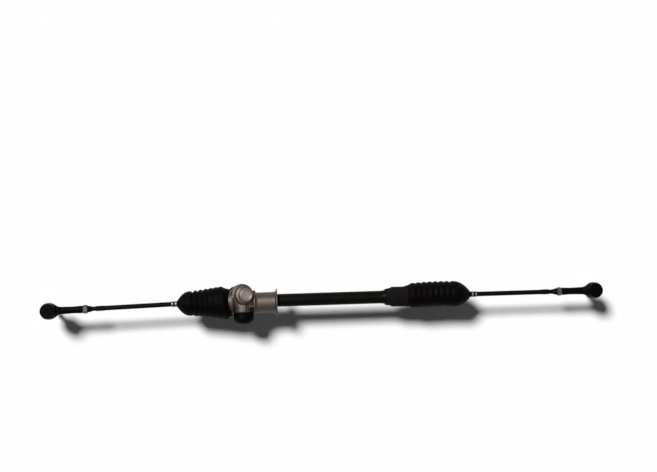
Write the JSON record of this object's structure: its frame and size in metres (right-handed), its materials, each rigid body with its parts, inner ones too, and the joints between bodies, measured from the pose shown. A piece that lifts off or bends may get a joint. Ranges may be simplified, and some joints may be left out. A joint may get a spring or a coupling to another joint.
{
  "type": "steering rack",
  "caption": "Manual rack-and-pinion steering gear with steel tube, rubber bellows and two jointed tie rods.",
  "frame": {"origin": "middle of the housing's clamp neck, on the neck's axis", "axes": "+X along the rack from the pinion's end to the tube's far end, +Y to the pinion's side of the rack, +Z away from the input shaft and the ball studs, which hang down"},
  "size_m": [1.2377, 0.0873, 0.1324],
  "materials": {
    "housing_casting": "die cast, dull",
    "machined_cap": "turned face",
    "black_paint": "satin black",
    "bar_steel": "ground",
    "zinc_plate": "zinc plated",
    "band_steel": "blackened",
    "black_rubber": "moulded",
    "seat_polymer": "moulded",
    "bush_bronze": "sintered",
    "guide_casting": "die cast"
  },
  "bodies": {
    "gear_body": {"gear_housing": "housing_casting", "rack_tube": "black_paint", "rack_bush": "bush_bronze", "pinion_bush": "bush_bronze", "pinion_bearing_outer": "bar_steel", "pinion_bearing_balls": "bar_steel", "pinion_retainer": "bar_steel", "pinion_seal": "black_rubber", "pinion_dust_cap": "black_rubber", "pinion_end_cap": "machined_cap", "rack_guide": "guide_casting", "guide_liner": "seat_polymer", "guide_spring": "bar_steel", "guide_plug": "black_paint", "guide_lock_nut": "zinc_plate", "guide_cover": "black_rubber", "left_boot": "black_rubber", "right_boot": "black_rubber", "left_boot_band": "band_steel", "right_boot_band": "band_steel"},
    "rack": {"rack_bar": "bar_steel", "left_lock_washer": "zinc_plate", "right_lock_washer": "zinc_plate", "left_inner_socket": "bar_steel", "right_inner_socket": "bar_steel"},
    "pinion": {"pinion_shaft": "bar_steel", "pinion_bearing_inner": "bar_steel"},
    "left_inner_pivot": {"left_inner_seat": "seat_polymer"},
    "left_rod": {"left_tie_rod": "black_paint", "left_jam_nut": "zinc_plate", "left_boot_clip": "zinc_plate", "left_rod_end": "black_paint", "left_end_plug": "black_paint", "left_dust_boot": "black_rubber", "left_dust_ring": "zinc_plate"},
    "left_outer_pivot": {"left_outer_seat": "seat_polymer"},
    "left_stud": {"left_ball_stud": "bar_steel"},
    "right_inner_pivot": {"right_inner_seat": "seat_polymer"},
    "right_rod": {"right_tie_rod": "black_paint", "right_jam_nut": "zinc_plate", "right_boot_clip": "zinc_plate", "right_rod_end": "black_paint", "right_end_plug": "black_paint", "right_dust_boot": "black_rubber", "right_dust_ring": "zinc_plate"},
    "right_outer_pivot": {"right_outer_seat": "seat_polymer"},
    "right_stud": {"right_ball_stud": "bar_steel"}
  },
  "joints": [
    {"name": "rack_slide", "type": "slide", "parent": "gear_body", "child": "rack", "axis": [1, 0, 0], "range_m": [-0.052, 0.052], "deforming": ["left_boot", "right_boot"]},
    {"name": "pinion_spin", "type": "hinge", "parent": "gear_body", "child": "pinion", "pos_m": [-0.054, 0.01773, 0], "axis": [0.309, 0, 0.9511], "range_deg": [-452, 452]},
    {"name": "left_inner_swing", "type": "hinge", "parent": "rack", "child": "left_inner_pivot", "pos_m": [-0.163, 0.004, 0], "axis": [0, 0, 1], "range_deg": [-15, 15]},
    {"name": "left_inner_lift", "type": "hinge", "parent": "left_inner_pivot", "child": "left_rod", "pos_m": [-0.163, 0.004, 0], "axis": [0, 1, 0], "range_deg": [-20, 20]},
    {"name": "left_outer_tilt", "type": "hinge", "parent": "left_rod", "child": "left_outer_pivot", "pos_m": [-0.46989, -0.00404, 0], "axis": [0, 1, 0], "range_deg": [-20, 20], "deforming": ["left_dust_boot"]},
    {"name": "left_stud_spin", "type": "hinge", "parent": "left_outer_pivot", "child": "left_stud", "pos_m": [-0.46989, -0.00404, 0], "axis": [0, 0, 1], "continuous": true},
    {"name": "right_inner_swing", "type": "hinge", "parent": "rack", "child": "right_inner_pivot", "pos_m": [0.424, 0.004, 0], "axis": [0, 0, 1], "range_deg": [-15, 15]},
    {"name": "right_inner_lift", "type": "hinge", "parent": "right_inner_pivot", "child": "right_rod", "pos_m": [0.424, 0.004, 0], "axis": [0, 1, 0], "range_deg": [-20, 20]},
    {"name": "right_outer_tilt", "type": "hinge", "parent": "right_rod", "child": "right_outer_pivot", "pos_m": [0.731, 0.004, 0], "axis": [0, 1, 0], "range_deg": [-20, 20], "deforming": ["right_dust_boot"]},
    {"name": "right_stud_spin", "type": "hinge", "parent": "right_outer_pivot", "child": "right_stud", "pos_m": [0.731, 0.004, 0], "axis": [0, 0, 1], "continuous": true}
  ],
  "couplings": [
    {"joint": "pinion_spin", "follows": "rack_slide", "rad_per_m": 151.52}
  ]
}
